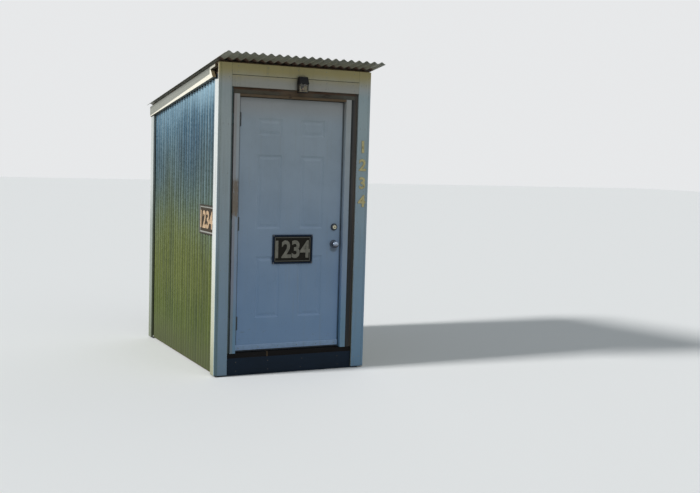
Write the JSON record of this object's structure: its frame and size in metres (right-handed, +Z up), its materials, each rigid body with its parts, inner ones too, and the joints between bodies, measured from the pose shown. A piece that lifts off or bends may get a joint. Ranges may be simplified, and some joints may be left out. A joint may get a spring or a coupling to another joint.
{
  "type": "outhouse",
  "caption": "Small timber-framed booth with corrugated metal walls and a lean-to roof, painted corner boards, and a panelled door that swings out.",
  "frame": {"origin": "on the ground, at the centre of the booth's footprint, under the middle floor joist", "axes": "+Z up, +Y from the door to the rear wall, +X to the right of someone facing the door"},
  "size_m": [1.3546, 2.1607, 2.5103],
  "materials": {
    "timber": "raw sawn framing timber, weathered where it shows",
    "dark_painted_timber": "worn dark blue-grey paint",
    "painted_timber": "worn white paint",
    "galvanised_sheet": "dull galvanised, corrugated",
    "roof_sheet": "weathered galvanised with rust",
    "plated_steel": "satin plate",
    "aged_brass": "dull",
    "lamp_paint": "matte black",
    "lamp_glass": "frosted",
    "sign_plate": "stained, bare"
  },
  "bodies": {
    "booth": {"kick_board": "dark_painted_timber", "rear_rim": "timber", "side_rims": "timber", "floor_joists": "timber", "floor_planks": "timber", "front_posts": "timber", "rear_posts": "timber", "trimmer_and_shims": "timber", "door_header": "timber", "front_top_rail": "timber", "rear_top_rail": "timber", "side_girts": "timber", "rear_girts": "timber", "rafters": "timber", "roof_purlins": "timber", "left_wall_sheet_front": "galvanised_sheet", "left_wall_sheet_rear": "galvanised_sheet", "right_wall_sheet_front": "galvanised_sheet", "right_wall_sheet_rear": "galvanised_sheet", "rear_wall_sheet_left": "galvanised_sheet", "rear_wall_sheet_right": "galvanised_sheet", "roof_sheet_left": "roof_sheet", "roof_sheet_right": "roof_sheet", "rake_boards": "painted_timber", "front_upper_board": "painted_timber", "front_lower_board": "painted_timber", "front_corner_boards": "painted_timber", "side_corner_trims": "painted_timber", "rear_corner_boards": "painted_timber", "rear_fascia_board": "painted_timber", "side_jambs": "painted_timber", "head_jamb": "timber", "door_stops": "painted_timber", "hinge_frame_leaves": "plated_steel", "strike_plates": "plated_steel", "lamp_housing": "lamp_paint", "lamp_glass": "lamp_glass", "side_sign": "sign_plate"},
    "door": {"door_slab": "painted_timber", "door_sweep": "painted_timber", "hinge_door_leaves": "plated_steel", "lock_plates": "plated_steel", "deadbolt": "aged_brass", "door_sign": "sign_plate"},
    "knob": {"door_knobs": "plated_steel"}
  },
  "joints": [
    {"name": "door_swing", "type": "hinge", "parent": "booth", "child": "door", "pos_m": [-0.4675, -0.906, 1.2], "axis": [0, 0, -1], "range_deg": [0, 95]},
    {"name": "knob_turn", "type": "hinge", "parent": "door", "child": "knob", "pos_m": [0.378, -0.87, 1.034], "axis": [0, 1, 0], "range_deg": [-50, 50], "stiffness_Nm_per_rad": 0.5}
  ]
}
